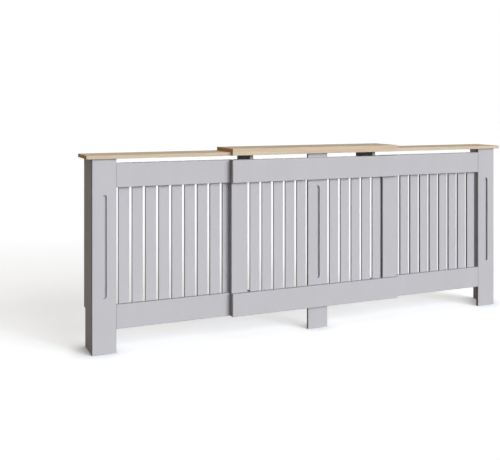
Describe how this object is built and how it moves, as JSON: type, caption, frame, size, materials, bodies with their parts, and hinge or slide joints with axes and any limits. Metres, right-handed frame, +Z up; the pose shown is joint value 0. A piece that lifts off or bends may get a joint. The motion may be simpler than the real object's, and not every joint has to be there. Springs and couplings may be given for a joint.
{
  "type": "radiator cover cabinet",
  "caption": "Extendable slatted radiator cover: a middle front stands on a centre leg, and end sections with side panels slide in behind it, under flat top boards.",
  "frame": {"origin": "on the floor, under the centre of the cover's bounding box, pulled out", "axes": "+X along the front to the right, +Y back to the wall, +Z up"},
  "size_m": [2.09, 0.19, 0.82],
  "materials": {
    "grey_board": "smooth satin grey paint on fibreboard",
    "oak_top": "light oak grain, matt",
    "beech_dowel": "bare fluted dowel",
    "bracket_steel": "zinc plated",
    "screw_steel": "zinc plated"
  },
  "bodies": {
    "middle_section": {"board_bracket": "bracket_steel", "board_bracket_screws": "screw_steel", "centre_leg": "grey_board", "middle_bottom_rail": "grey_board", "middle_left_stile": "grey_board", "middle_lip": "oak_top", "middle_right_stile": "grey_board", "middle_slat_01": "grey_board", "middle_slat_02": "grey_board", "middle_slat_03": "grey_board", "middle_slat_04": "grey_board", "middle_slat_05": "grey_board", "middle_slat_06": "grey_board", "middle_slat_07": "grey_board", "middle_slat_08": "grey_board", "middle_slat_09": "grey_board", "middle_slat_10": "grey_board", "middle_top_board": "oak_top", "middle_top_rail": "grey_board"},
    "left_section": {"left_bottom_rail": "grey_board", "left_bracket_screws": "screw_steel", "left_dowels": "beech_dowel", "left_lower_arm": "grey_board", "left_post": "grey_board", "left_side_panel": "grey_board", "left_slat_01": "grey_board", "left_slat_02": "grey_board", "left_slat_03": "grey_board", "left_slat_04": "grey_board", "left_slat_05": "grey_board", "left_slat_06": "grey_board", "left_slat_07": "grey_board", "left_slat_08": "grey_board", "left_slat_09": "grey_board", "left_slat_10": "grey_board", "left_top_board": "oak_top", "left_top_rail": "grey_board", "left_upper_arm": "grey_board", "left_wall_bracket": "bracket_steel"},
    "right_section": {"right_bottom_rail": "grey_board", "right_bracket_screws": "screw_steel", "right_dowels": "beech_dowel", "right_lower_arm": "grey_board", "right_post": "grey_board", "right_side_panel": "grey_board", "right_slat_01": "grey_board", "right_slat_02": "grey_board", "right_slat_03": "grey_board", "right_slat_04": "grey_board", "right_slat_05": "grey_board", "right_slat_06": "grey_board", "right_slat_07": "grey_board", "right_slat_08": "grey_board", "right_slat_09": "grey_board", "right_slat_10": "grey_board", "right_top_board": "oak_top", "right_top_rail": "grey_board", "right_upper_arm": "grey_board", "right_wall_bracket": "bracket_steel"}
  },
  "joints": [
    {"name": "left_slide", "type": "slide", "parent": "middle_section", "child": "left_section", "axis": [1, 0, 0], "range_m": [0, 0.2575]},
    {"name": "right_slide", "type": "slide", "parent": "middle_section", "child": "right_section", "axis": [-1, 0, 0], "range_m": [0, 0.2575]}
  ]
}
